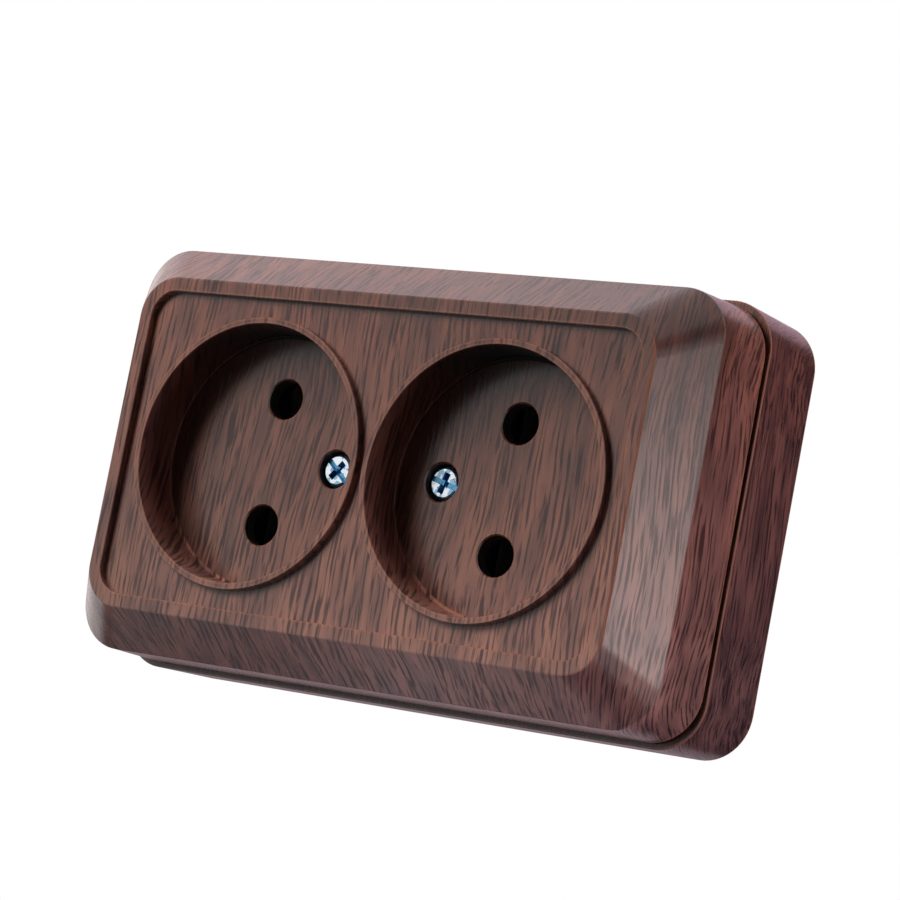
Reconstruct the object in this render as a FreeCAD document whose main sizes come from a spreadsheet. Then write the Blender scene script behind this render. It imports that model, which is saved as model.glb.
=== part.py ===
import FreeCAD, Part
import Sketcher
import math
import os
import re

# A surface-mounted double wall socket for round-pin plugs.
# X runs along the socket, Y into the wall and Z up. The wall is the plane Y = 0, and the
# origin is the centre of the mounting face. A height is a distance out from the wall.

# Driving sizes in millimetres, draft in degrees
SIZES = [
    ("case_depth", 33.3, "wall to front border"),
    ("cover_width", 102.86, "cover at its rear edge, along X"),
    ("cover_height", 62.42, "cover at its rear edge, along Z"),
    ("cover_corner", 7.7, "corner radius at the rear edge"),
    ("cover_draft", 0.3, "side wall taper, rear edge to bevel"),
    ("cover_skin", 2.2, "side wall of the cover"),
    ("seam_height", 14.6, "cover's rear edge above the wall"),
    ("bevel_drop", 7.6, "front border down to the bevel's outer edge"),
    ("bevel_run", 5.85, "bevel's width seen from the front"),
    ("bevel_corner", 7.4, "corner radius at the bevel's outer edge"),
    ("bevel_round", 0.4, "rounding of the bevel's outer edge"),
    ("front_corner", 6.0, "corner radius of the front border"),
    ("border_round", 0.35, "rounding of the border's outer edge"),
    ("border_width", 2.0, "raised border round the field"),
    ("field_recess", 1.1, "field below the border"),
    ("field_corner", 4.2, "corner radius of the field"),
    ("field_skin", 2.0, "thickness of the field"),
    ("rim_bevel", 0.1, "bevelled edges of raised rims"),
    ("cup_margin", 2.18, "border to the ring beside it"),
    ("ring_gap", 1.2, "between the two rings"),
    ("cup_depth", 7.45, "border to cup floor"),
    ("cup_taper", 1.5, "draft of the cup wall, degrees"),
    ("cup_wall", 1.4, "cup wall behind the field"),
    ("cup_fill", 0.15, "slanted fill round the cup floor"),
    ("ring_wall", 0.95, "raised ring round each cup"),
    ("floor_skin", 2.5, "thickness of the cup floor"),
    ("pin_pitch", 19.0, "between the two pins of a plug"),
    ("pin_hole", 6.0, "pin hole diameter"),
    ("pin_bevel", 0.2, "bevelled edges of pin and screw holes"),
    ("screw_inset", 11.35, "cup centre to cover screw"),
    ("head_pocket", 5.65, "pocket for a cover screw's head"),
    ("head_sink", 0.65, "screw head below the cup floor"),
    ("head_width", 5.1, "cover screw head diameter"),
    ("head_height", 1.85, "cover screw head height"),
    ("head_bevel", 0.5, "bevelled edge of screw heads"),
    ("boss_width", 8.4, "cover boss and carrier post diameter"),
    ("boss_skin", 1.8, "plastic under a screw head"),
    ("shank_width", 3.0, "cover and carrier screw diameter"),
    ("shank_gap", 0.2, "screw to its clearance hole, all round"),
    ("thread_gap", 0.05, "screw to its nut or pilot hole, all round"),
    ("tip_gap", 0.5, "cover screw's tip to the back wall"),
    ("rib_width", 1.2, "ribs inside the cover"),
    ("tongue_inset", 1.3, "tongue inside the cover's rear edge"),
    ("tongue_length", 3.2, "tongue below the rear edge"),
    ("fit_gap", 0.15, "tongue to rebate, all round"),
    ("reveal", 0.7, "open seam between cover and box"),
    ("box_width", 103.6, "box at its mouth, along X"),
    ("box_height", 64.0, "box at its mouth, along Z"),
    ("box_draft", 0.2, "box taper, mouth to back"),
    ("box_corner", 7.3, "corner radius of the box"),
    ("mouth_round", 0.3, "rounding of the box's outer edge"),
    ("box_wall", 2.4, "side wall of the box"),
    ("box_floor", 2.0, "back wall of the box"),
    ("cavity_corner", 5.0, "corner radius inside the box"),
    ("wall_spacing", 89.0, "between the two wall screw slots"),
    ("slot_length", 7.0, "wall screw slot along X"),
    ("slot_width", 4.4, "wall screw slot along Z"),
    ("slot_pad", 11.0, "raised pad round a slot"),
    ("pad_lift", 1.0, "raised pad above the back wall"),
    ("entry_width", 18.0, "cable entry along X"),
    ("entry_height", 6.0, "cable entry along Z"),
    ("entry_place", 25.4, "cable entry centre above the middle"),
    ("knockout_width", 12.0, "thin panel in the top wall, along X"),
    ("knockout_height", 7.0, "thin panel in the top wall, along Y"),
    ("knockout_place", 7.5, "thin panel's centre above the wall"),
    ("knockout_skin", 0.7, "thickness of the thin panel"),
    ("plate_lift", 3.2, "underside of the carrier plate"),
    ("plate_skin", 2.0, "thickness of the carrier plate"),
    ("plate_width", 79.0, "carrier plate along X"),
    ("plate_height", 42.8, "carrier plate along Z"),
    ("plate_corner", 3.0, "corner radius of the carrier plate"),
    ("post_gap", 0.2, "carrier post to cover boss"),
    ("nut_flats", 5.5, "cover nut across flats"),
    ("nut_thick", 2.4, "cover nut thickness"),
    ("nut_gap", 0.05, "nut to its pocket, all round"),
    ("turret_spacing", 66.0, "between the two carrier screws"),
    ("turret_width", 10.0, "carrier turret diameter"),
    ("stud_width", 7.0, "box stud inside a turret"),
    ("stud_height", 9.0, "top of a box stud"),
    ("stud_gap", 0.1, "stud to turret, all round"),
    ("carrier_head_width", 5.8, "carrier screw head diameter"),
    ("carrier_shank", 8.0, "carrier screw under its head"),
    ("shroud_width", 10.4, "contact chamber along X"),
    ("shroud_height", 8.4, "contact chamber along Z"),
    ("shroud_wall", 1.2, "chamber wall"),
    ("shroud_drop", 1.1, "contact mouth down to the chamber rim"),
    ("tab_width", 5.0, "contact tab along X"),
    ("tab_gap", 0.2, "contact tab to its slot, each side"),
    ("bar_thick", 0.8, "brass bar thickness"),
    ("bar_width", 5.0, "brass bar along Z"),
    ("bar_place", 17.5, "brass bar centre above the middle"),
    ("terminal_spacing", 70.0, "between the terminals of a bar"),
    ("terminal_pad", 7.0, "wide end of a bar"),
    ("terminal_shank", 3.5, "terminal screw diameter"),
    ("terminal_length", 4.3, "terminal screw under its head"),
    ("terminal_head", 6.4, "terminal screw head diameter"),
    ("clamp_thick", 1.2, "clamp plate thickness"),
    ("clamp_width", 6.8, "clamp plate side"),
    ("square_nut", 6.0, "terminal nut side"),
    ("square_thick", 1.8, "terminal nut thickness"),
    ("rivet_shank", 2.2, "rivet diameter"),
    ("rivet_head", 3.8, "rivet head diameter"),
    ("rivet_rise", 0.7, "rivet head height"),
    ("leaf_thick", 0.5, "contact sheet thickness"),
    ("leaf_width", 7.0, "contact leaves along Z"),
    ("heel_width", 6.6, "contact width at its base"),
    ("mouth_drop", 3.75, "underside of the cup floor to the contact"),
    ("heel_share", 0.17, "share of the contact's height below its shoulder"),
    ("neck_share", 0.353, "share of the contact's height below the grip"),
    ("grip_share", 0.691, "share of the contact's height up to the grip's end"),
    ("grip_gap", 3.7, "between the leaves where they hold a pin"),
    ("mouth_gap", 6.4, "between the leaves at the mouth"),
    ("bend_round", 0.4, "inner radius of sheet bends"),
    ("clip_thick", 0.5, "spring clip thickness"),
    ("clip_margin", 0.3, "grip beyond the spring clip, each end"),
    ("clip_length", 6.6, "spring clip arms along Z"),
    ("slot_cut", 0.8, "width of driver slots"),
    ("slot_sink", 0.7, "depth of driver slots"),
    ("cross_reach", 3.1, "span of the cross recess"),
    ("cross_sink", 1.3, "depth of the cross recess"),
]

NAMES = {alias for alias, amount, note in SIZES}

# Heights and places worked out from the sizes
CUP_FLOOR = "(case_depth - cup_depth)"
CUP_BACK = f"({CUP_FLOOR} - floor_skin)"
FIELD_BACK = "(case_depth - field_recess - field_skin)"
SEAT = f"({CUP_FLOOR} - head_sink - head_height)"
BOSS_END = f"({SEAT} - boss_skin)"
FRONT_WIDTH = "(cover_width - 2 * cover_draft - 2 * bevel_run)"
FRONT_HEIGHT = "(cover_height - 2 * cover_draft - 2 * bevel_run)"
BEVEL_HEIGHT = "(case_depth - bevel_drop)"
FIELD_REACH = f"({FRONT_WIDTH} / 2 - border_width - cup_margin)"
FIELD_RISE = f"({FRONT_HEIGHT} / 2 - border_width - cup_margin)"
RING_REACH = f"min(({FIELD_REACH} - ring_gap / 2) / 2; {FIELD_RISE})"
CUP_RADIUS = f"({RING_REACH} - ring_wall)"
CUP_X = f"(ring_gap / 2 + {RING_REACH})"
PIN_Z = "(pin_pitch / 2)"
SCREW_X = f"({CUP_X} - screw_inset)"
MOUTH = "(seam_height - reveal)"
TONGUE_END = "(seam_height - tongue_length)"
TONGUE_WIDTH = "(cover_width - 2 * tongue_inset)"
TONGUE_HEIGHT = "(cover_height - 2 * tongue_inset)"
CAVITY_WIDTH = "(box_width - 2 * box_draft - 2 * box_wall)"
CAVITY_HEIGHT = "(box_height - 2 * box_draft - 2 * box_wall)"
PLATE_TOP = "(plate_lift + plate_skin)"
BAR_TOP = f"({PLATE_TOP} + bar_thick)"
LYRE_TOP = f"({CUP_BACK} - mouth_drop)"
LYRE_RISE = f"({LYRE_TOP} - {BAR_TOP})"
SHROUD_TOP = f"({LYRE_TOP} - shroud_drop)"
SHANK_LENGTH = f"({SEAT} - box_floor - tip_gap)"
TURRET_X = "(turret_spacing / 2)"
TURRET_TOP = "(stud_height + boss_skin)"
TERMINAL_X = "(terminal_spacing / 2)"
WALL_X = "(wall_spacing / 2)"
HOLE_WIDTH = "(shank_width + 2 * shank_gap)"
THREAD_WIDTH = "(shank_width + 2 * thread_gap)"
SHARES = ("heel_share", "neck_share", "grip_share")
SIDES = ("", "-")
SAME = 0.02

doc = FreeCAD.newDocument("wall_socket")
sheet = doc.addObject("Spreadsheet::Sheet", "Sizes")
for row, (alias, amount, note) in enumerate(SIZES, 1):
    sheet.set(f"A{row}", note)
    sheet.set(f"B{row}", str(amount))
    sheet.setAlias(f"B{row}", alias)
doc.recompute()


# Expressions

def full(expression):
    """Put the sheet's name in front of every size in an expression."""
    def named(word):
        return "Sizes." + word.group() if word.group() in NAMES else word.group()
    return re.sub(r"[a-z_]+", named, expression)


def number(expression):
    """The present value of an expression."""
    return float(sheet.evalExpression(full(expression)))


# Sketches

def plane_of(body, role):
    """One of a body's own origin planes."""
    return [plane for plane in body.Origin.OriginFeatures if plane.Role == role][0]


def new_sketch(body, name, height="0", role="XZ_Plane"):
    """A sketch on an origin plane, by default facing the viewer at a height above the wall."""
    sketch = body.newObject("Sketcher::SketchObject", name)
    sketch.AttachmentSupport = [(plane_of(body, role), "")]
    sketch.MapMode = "FlatFace"
    if height != "0":
        sketch.setExpression(".AttachmentOffset.Base.z", full(height))
    return sketch


def hold(sketch, constraint, expression):
    """Add a constraint that has a size, and bind it to an expression."""
    place = sketch.addConstraint(constraint)
    sketch.setExpression(f"Constraints[{place}]", full(expression))


def pin(sketch, index, point, across, up):
    """Hold a point of a sketch at a place given by two expressions."""
    for kind, axis, expression in (("DistanceX", -2, across), ("DistanceY", -1, up)):
        if expression == "0":
            sketch.addConstraint(Sketcher.Constraint("PointOnObject", index, point, axis))
            continue
        amount = number(expression)
        ends = (-1, 1, index, point)
        if amount < 0:
            ends = (index, point, -1, 1)
            expression = f"-({expression})"
        hold(sketch, Sketcher.Constraint(kind, *ends, abs(amount)), expression)


def circle(sketch, across, up, width):
    """A circle by its centre and diameter."""
    centre = FreeCAD.Vector(number(across), number(up), 0)
    curve = Part.Circle(centre, FreeCAD.Vector(0, 0, 1), number(width) / 2)
    index = sketch.addGeometry(curve, False)
    pin(sketch, index, 3, across, up)
    hold(sketch, Sketcher.Constraint("Diameter", index, number(width)), width)


def polygon(sketch, points):
    """A closed outline through points, each held by two expressions."""
    places = [FreeCAD.Vector(number(across), number(up), 0) for across, up in points]
    first = sketch.GeometryCount
    count = len(points)
    for step in range(count):
        sketch.addGeometry(Part.LineSegment(places[step], places[(step + 1) % count]), False)
    for step in range(count):
        following = first + (step + 1) % count
        sketch.addConstraint(Sketcher.Constraint("Coincident", first + step, 2, following, 1))
    for step, (across, up) in enumerate(points):
        pin(sketch, first + step, 1, across, up)


def rectangle(sketch, across, up, width, height):
    """A rectangle by its centre and sides."""
    left = f"{across} - {width} / 2"
    right = f"{across} + {width} / 2"
    low = f"{up} - {height} / 2"
    high = f"{up} + {height} / 2"
    polygon(sketch, [(left, low), (right, low), (right, high), (left, high)])


def rounded(sketch, across, up, width, height, corner):
    """A rectangle with round corners, by its centre, sides and corner radius."""
    reach_x = number(width) / 2 - number(corner)
    reach_z = number(height) / 2 - number(corner)
    centre = FreeCAD.Vector(number(across), number(up), 0)
    radius = number(corner)
    first = sketch.GeometryCount
    corners = ((1, 1), (-1, 1), (-1, -1), (1, -1))
    middles = [centre + FreeCAD.Vector(sx * reach_x, sz * reach_z, 0) for sx, sz in corners]
    for turn in range(4):
        start = turn * math.pi / 2
        ring = Part.Circle(middles[turn], FreeCAD.Vector(0, 0, 1), radius)
        sketch.addGeometry(Part.ArcOfCircle(ring, start, start + math.pi / 2), False)
        end = middles[turn] + radius * FreeCAD.Vector(-math.sin(start), math.cos(start), 0)
        offset = radius * FreeCAD.Vector(-math.sin(start), math.cos(start), 0)
        following = middles[(turn + 1) % 4] + offset
        sketch.addGeometry(Part.LineSegment(end, following), False)
    for turn in range(4):
        arc = first + 2 * turn
        line = arc + 1
        next_arc = first + (2 * turn + 2) % 8
        sketch.addConstraint(Sketcher.Constraint("Tangent", arc, 2, line, 1))
        sketch.addConstraint(Sketcher.Constraint("Tangent", line, 2, next_arc, 1))
        sketch.addConstraint(Sketcher.Constraint("Vertical" if turn % 2 else "Horizontal", line))
        if turn:
            sketch.addConstraint(Sketcher.Constraint("Equal", first, arc))
    hold(sketch, Sketcher.Constraint("Radius", first, radius), corner)
    side = f"{width} / 2 - {corner}"
    rise = f"{height} / 2 - {corner}"
    pin(sketch, first, 3, f"{across} + {side}", f"{up} + {rise}")
    pin(sketch, first + 4, 3, f"{across} - ({side})", f"{up} - ({rise})")


# Features

def new_body(name):
    """A body with its own label."""
    body = doc.addObject("PartDesign::Body", name)
    body.Label = name
    return body


def feature_of(body, kind, name, sketch):
    """A feature made from one sketch."""
    feature = body.newObject(kind, name)
    feature.Profile = sketch
    return feature


def pad(body, name, sketch, length):
    """Add material from a sketch along its normal."""
    feature = feature_of(body, "PartDesign::Pad", name, sketch)
    feature.setExpression("Length", full(length))
    doc.recompute()


def pad_both(body, name, sketch, length):
    """Add material on both sides of a sketch."""
    feature = feature_of(body, "PartDesign::Pad", name, sketch)
    feature.SideType = "Symmetric"
    feature.setExpression("Length", full(length))
    doc.recompute()


def pocket(body, name, sketch, depth, taper="0"):
    """Cut a sketch into the body against its normal, and check that it cut."""
    before = body.Shape.Volume
    feature = feature_of(body, "PartDesign::Pocket", name, sketch)
    feature.setExpression("Length", full(depth))
    if taper != "0":
        feature.setExpression("TaperAngle", full(taper))
    doc.recompute()
    if body.Shape.Volume >= before:
        raise RuntimeError(f"{name} cut nothing")


def loft(body, name, kind, sections):
    """A ruled loft through sketches."""
    doc.recompute()
    feature = feature_of(body, kind, name, sections[0])
    feature.Sections = sections[1:]
    feature.Ruled = True
    doc.recompute()


def turned(body, name, points):
    """A turned solid about Y: each point is a radius and a height above the wall."""
    sketch = new_sketch(body, name + "_profile", role="XY_Plane")
    polygon(sketch, [(radius, f"-({height})" if height != "0" else "0") for radius, height in points])
    feature = feature_of(body, "PartDesign::Revolution", name, sketch)
    feature.ReferenceAxis = (sketch, ["V_Axis"])
    feature.Angle = 360
    doc.recompute()


def dress_edges(body, kind, name, chosen):
    """A fillet or chamfer on the edges that a test picks out of the body."""
    base = body.Tip
    edges = [f"Edge{place}" for place, edge in enumerate(base.Shape.Edges, 1) if chosen(edge)]
    if not edges:
        raise RuntimeError(f"{name} finds no edge")
    feature = body.newObject(kind, name)
    feature.Base = (base, edges)
    return feature


def round_edges(body, name, radius, chosen):
    """Round some edges."""
    feature = dress_edges(body, "PartDesign::Fillet", name, chosen)
    feature.setExpression("Radius", full(radius))
    doc.recompute()


def bevel_edges(body, name, width, chosen):
    """Bevel some edges."""
    feature = dress_edges(body, "PartDesign::Chamfer", name, chosen)
    feature.setExpression("Size", full(width))
    doc.recompute()


# Tests that pick edges

def edge_points(edge):
    """Both ends and the middle of an edge."""
    first, last = edge.ParameterRange
    return [edge.valueAt(first), edge.valueAt((first + last) / 2), edge.valueAt(last)]


def on_outline(height, width, tall, corner):
    """Edges on a rounded rectangle at a height above the wall."""
    level = -number(height)
    radius = number(corner)
    reach_x = number(width) / 2 - radius
    reach_z = number(tall) / 2 - radius

    def off(point):
        side = abs(point.x) - reach_x
        rise = abs(point.z) - reach_z
        outside = math.hypot(max(side, 0), max(rise, 0))
        return abs(outside + min(max(side, rise), 0) - radius) + abs(point.y - level)

    return lambda edge: all(off(point) < SAME for point in edge_points(edge))


def on_circle(height, across, up, width):
    """Edges on circles at a height above the wall, at all mirrored places."""
    level = -number(height)
    radius = number(width) / 2
    middle_x = number(across)
    middle_z = number(up)

    def off(point):
        reach = math.hypot(abs(point.x) - middle_x, abs(point.z) - middle_z)
        return abs(reach - radius) + abs(point.y - level)

    return lambda edge: all(off(point) < SAME for point in edge_points(edge))


def along_z(places):
    """Edges parallel to Z that stand over given places in X and height above the wall."""
    spots = [(number(across), -number(height)) for across, height in places]

    def chosen(edge):
        ends = edge_points(edge)
        level = max(abs(ends[0].x - ends[2].x), abs(ends[0].y - ends[2].y)) < SAME
        near = [math.hypot(abs(ends[1].x) - x, ends[1].y - y) < SAME for x, y in spots]
        return level and any(near)

    return chosen


# Front cover: bevelled shell, raised border, two cups with raised rings

def cover_shell(body):
    """The outer form and the tongue that centres the cover in the box."""
    seam = new_sketch(body, "seam_section", "seam_height")
    rounded(seam, "0", "0", "cover_width", "cover_height", "cover_corner")
    bevel = new_sketch(body, "bevel_section", BEVEL_HEIGHT)
    width = "(cover_width - 2 * cover_draft)"
    height = "(cover_height - 2 * cover_draft)"
    rounded(bevel, "0", "0", width, height, "bevel_corner")
    front = new_sketch(body, "front_section", "case_depth")
    rounded(front, "0", "0", FRONT_WIDTH, FRONT_HEIGHT, "front_corner")
    loft(body, "outer_form", "PartDesign::AdditiveLoft", [seam, bevel, front])
    outline = on_outline(BEVEL_HEIGHT, width, height, "bevel_corner")
    round_edges(body, "bevel_rounding", "bevel_round", outline)
    outline = on_outline("case_depth", FRONT_WIDTH, FRONT_HEIGHT, "front_corner")
    round_edges(body, "border_rounding", "border_round", outline)
    tongue = new_sketch(body, "tongue_section", TONGUE_END)
    rounded(tongue, "0", "0", TONGUE_WIDTH, TONGUE_HEIGHT, "(cover_corner - tongue_inset)")
    pad(body, "tongue", tongue, "tongue_length")


def cover_cavity(body):
    """The hollow behind the field, with walls of even thickness."""
    # Offset across the slanted wall, and the drop of its inner knee
    slant = "(sqrt(bevel_run ^ 2 + bevel_drop ^ 2) / bevel_drop)"
    knee = f"({BEVEL_HEIGHT} - cover_skin * ({slant} - 1) * bevel_drop / bevel_run)"
    rise = f"(bevel_run * (case_depth - {FIELD_BACK}) / bevel_drop)"
    levels = (
        (TONGUE_END, "(2 * cover_skin)", "(cover_corner - cover_skin)"),
        (knee, "(2 * cover_draft + 2 * cover_skin)", "(bevel_corner - cover_skin)"),
        (FIELD_BACK, f"(cover_width - {FRONT_WIDTH} - 2 * {rise} + 2 * cover_skin * {slant})",
         "(front_corner - 1)"),
    )
    sections = []
    for place, (height, less, corner) in enumerate(levels):
        sketch = new_sketch(body, f"cavity_section_{place}", height)
        rounded(sketch, "0", "0", f"(cover_width - {less})", f"(cover_height - {less})", corner)
        sections.append(sketch)
    loft(body, "cavity", "PartDesign::SubtractiveLoft", sections)


def cover_cups(body):
    """The two cups, the sunk field round their rings, and the ribs behind."""
    blanks = new_sketch(body, "cup_blanks", CUP_BACK)
    for side in SIDES:
        circle(blanks, side + CUP_X, "0", f"(2 * {CUP_RADIUS} + 2 * cup_wall)")
    pad(body, "cup_walls", blanks, f"{FIELD_BACK} - {CUP_BACK}")
    ribs = new_sketch(body, "rib_lines", CUP_BACK)
    for side in SIDES:
        inner = f"({CUP_X} + {CUP_RADIUS} + cup_wall / 2)"
        outer = f"({FRONT_WIDTH} / 2)"
        rectangle(ribs, f"{side}({inner} + {outer}) / 2", "0", f"({outer} - {inner})", "rib_width")
        low = f"({CUP_RADIUS} / 3)"
        high = f"({FRONT_HEIGHT} / 2)"
        rectangle(ribs, "0", f"{side}({low} + {high}) / 2", "rib_width", f"({high} - {low})")
    pad(body, "ribs", ribs, f"{FIELD_BACK} - {CUP_BACK}")
    field = new_sketch(body, "field_outline", "case_depth")
    width = f"({FRONT_WIDTH} - 2 * border_width)"
    height = f"({FRONT_HEIGHT} - 2 * border_width)"
    rounded(field, "0", "0", width, height, "field_corner")
    for side in SIDES:
        circle(field, side + CUP_X, "0", f"(2 * {RING_REACH})")
    pocket(body, "field", field, "field_recess")
    cups = new_sketch(body, "cup_mouths", "case_depth")
    for side in SIDES:
        circle(cups, side + CUP_X, "0", f"(2 * {CUP_RADIUS})")
    pocket(body, "cups", cups, "cup_depth", "-cup_taper")


def cover_holes(body):
    """Screw bosses with sunk seats, and the pin holes."""
    bosses = new_sketch(body, "boss_outlines", BOSS_END)
    for side in SIDES:
        circle(bosses, side + SCREW_X, "0", "boss_width")
    pad(body, "screw_bosses", bosses, f"{CUP_BACK} - {BOSS_END}")
    seats = new_sketch(body, "head_pockets", CUP_FLOOR)
    shanks = new_sketch(body, "shank_holes", SEAT)
    for side in SIDES:
        circle(seats, side + SCREW_X, "0", "head_pocket")
        circle(shanks, side + SCREW_X, "0", HOLE_WIDTH)
    pocket(body, "screw_seats", seats, f"{CUP_FLOOR} - {SEAT}")
    pocket(body, "screw_holes", shanks, "boss_skin")
    pins = new_sketch(body, "pin_outlines", CUP_FLOOR)
    for side in SIDES:
        for end in SIDES:
            circle(pins, side + CUP_X, end + PIN_Z, "pin_hole")
    pocket(body, "pin_holes", pins, "floor_skin")


def cover_edges(body):
    """Moulded edges of the border, the rings, the cup floors and the holes."""
    width = f"({FRONT_WIDTH} - 2 * border_width)"
    height = f"({FRONT_HEIGHT} - 2 * border_width)"
    inner = on_outline("case_depth", width, height, "field_corner")
    ring = on_circle("case_depth", CUP_X, "0", f"(2 * {RING_REACH})")
    mouth = on_circle("case_depth", CUP_X, "0", f"(2 * {CUP_RADIUS})")
    bevel_edges(body, "rim_bevels", "rim_bevel",
                lambda edge: inner(edge) or ring(edge) or mouth(edge))
    pins = on_circle(CUP_FLOOR, CUP_X, PIN_Z, "pin_hole")
    seats = on_circle(CUP_FLOOR, SCREW_X, "0", "head_pocket")
    bevel_edges(body, "hole_bevels", "pin_bevel", lambda edge: pins(edge) or seats(edge))
    shrink = math.tan(math.radians(number("cup_taper"))) * number("cup_depth")
    floor_width = str(2 * number(CUP_RADIUS) - 2 * shrink)
    floor = on_circle(CUP_FLOOR, CUP_X, "0", floor_width)
    bevel_edges(body, "floor_fill", "cup_fill", floor)


def make_cover():
    body = new_body("front_cover")
    cover_shell(body)
    cover_cavity(body)
    cover_cups(body)
    cover_holes(body)
    cover_edges(body)
    return body


# Back box: open moulding that is screwed to the wall

def box_shell(body):
    """Outer form, hollow and the rebate for the cover's tongue."""
    back = new_sketch(body, "back_section")
    width = "(box_width - 2 * box_draft)"
    height = "(box_height - 2 * box_draft)"
    rounded(back, "0", "0", width, height, "box_corner")
    mouth = new_sketch(body, "mouth_section", MOUTH)
    rounded(mouth, "0", "0", "box_width", "box_height", "box_corner")
    loft(body, "outer_form", "PartDesign::AdditiveLoft", [back, mouth])
    outline = on_outline(MOUTH, "box_width", "box_height", "box_corner")
    round_edges(body, "mouth_rounding", "mouth_round", outline)
    cavity = new_sketch(body, "cavity_outline", MOUTH)
    rounded(cavity, "0", "0", CAVITY_WIDTH, CAVITY_HEIGHT, "cavity_corner")
    pocket(body, "cavity", cavity, f"{MOUTH} - box_floor")
    rebate = new_sketch(body, "rebate_outline", MOUTH)
    corner = "(cover_corner - tongue_inset + fit_gap)"
    rounded(rebate, "0", "0", f"({TONGUE_WIDTH} + 2 * fit_gap)", f"({TONGUE_HEIGHT} + 2 * fit_gap)", corner)
    pocket(body, "rebate", rebate, f"{MOUTH} - {TONGUE_END}")


def box_bosses(body):
    """Studs for the carrier screws, rests under the nuts and pads round the wall slots."""
    places = (
        ("studs", TURRET_X, "stud_width", "stud_height"),
        ("nut_rests", SCREW_X, "boss_width", "plate_lift"),
        ("slot_pads", WALL_X, "slot_pad", "(box_floor + pad_lift)"),
    )
    for name, across, width, top in places:
        sketch = new_sketch(body, name + "_outline", "(box_floor / 2)")
        for side in SIDES:
            circle(sketch, side + across, "0", width)
        pad(body, name, sketch, f"{top} - box_floor / 2")


def box_openings(body):
    """Pilot holes, wall screw slots, the cable entry and the thin panel in the top wall."""
    pilots = new_sketch(body, "pilot_outlines", "stud_height")
    tips = new_sketch(body, "tip_outlines", "plate_lift")
    slots = new_sketch(body, "slot_outlines", "(box_floor + pad_lift)")
    for side in SIDES:
        circle(pilots, side + TURRET_X, "0", THREAD_WIDTH)
        circle(tips, side + SCREW_X, "0", HOLE_WIDTH)
        rounded(slots, side + WALL_X, "0", "slot_length", "slot_width", "(slot_width / 2 - 0.01)")
    pocket(body, "pilot_holes", pilots, "carrier_shank")
    pocket(body, "tip_holes", tips, "plate_lift - box_floor")
    pocket(body, "wall_slots", slots, "box_floor + pad_lift")
    entry = new_sketch(body, "entry_outline", "box_floor")
    rounded(entry, "0", "entry_place", "entry_width", "entry_height", "(entry_height / 3)")
    pocket(body, "cable_entry", entry, "box_floor")
    panel = new_sketch(body, "knockout_outline", "(box_height / 2 - box_draft - knockout_skin)", "XY_Plane")
    rectangle(panel, "0", "-knockout_place", "knockout_width", "knockout_height")
    pocket(body, "knockout", panel, "box_wall - knockout_skin")


def make_box():
    body = new_body("back_box")
    box_shell(body)
    box_bosses(body)
    box_openings(body)
    return body


# Contact carrier: inner moulding that holds every live part

def carrier_blank(body):
    """Plate, posts, turrets and contact chambers."""
    plate = new_sketch(body, "plate_outline", "plate_lift")
    rounded(plate, "0", "0", "plate_width", "plate_height", "plate_corner")
    pad(body, "plate", plate, "plate_skin")
    posts = new_sketch(body, "post_outlines", "plate_lift")
    turrets = new_sketch(body, "turret_outlines", "plate_lift")
    chambers = new_sketch(body, "chamber_outlines", "plate_lift")
    for side in SIDES:
        circle(posts, side + SCREW_X, "0", "boss_width")
        circle(turrets, side + TURRET_X, "0", "turret_width")
        for end in SIDES:
            rectangle(chambers, side + CUP_X, end + PIN_Z, "(shroud_width + 2 * shroud_wall)",
                      "(shroud_height + 2 * shroud_wall)")
    pad(body, "posts", posts, f"{BOSS_END} - post_gap - plate_lift")
    pad(body, "turrets", turrets, f"{TURRET_TOP} - plate_lift")
    pad(body, "chambers", chambers, f"{SHROUD_TOP} - plate_lift")


def carrier_chambers(body):
    """The hollow of each contact chamber, open on the side of its bar."""
    hollows = new_sketch(body, "hollow_outlines", SHROUD_TOP)
    gates = new_sketch(body, "gate_outlines", SHROUD_TOP)
    for side in SIDES:
        for end in SIDES:
            rectangle(hollows, side + CUP_X, end + PIN_Z, "shroud_width", "shroud_height")
            middle = f"{end}({PIN_Z} + shroud_height / 2 + shroud_wall / 2)"
            rectangle(gates, side + CUP_X, middle, "(tab_width + 2 * tab_gap)", "(shroud_wall + 0.2)")
    pocket(body, "hollows", hollows, f"{SHROUD_TOP} - {BAR_TOP}")
    pocket(body, "gates", gates, f"{SHROUD_TOP} - {BAR_TOP}")


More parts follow.
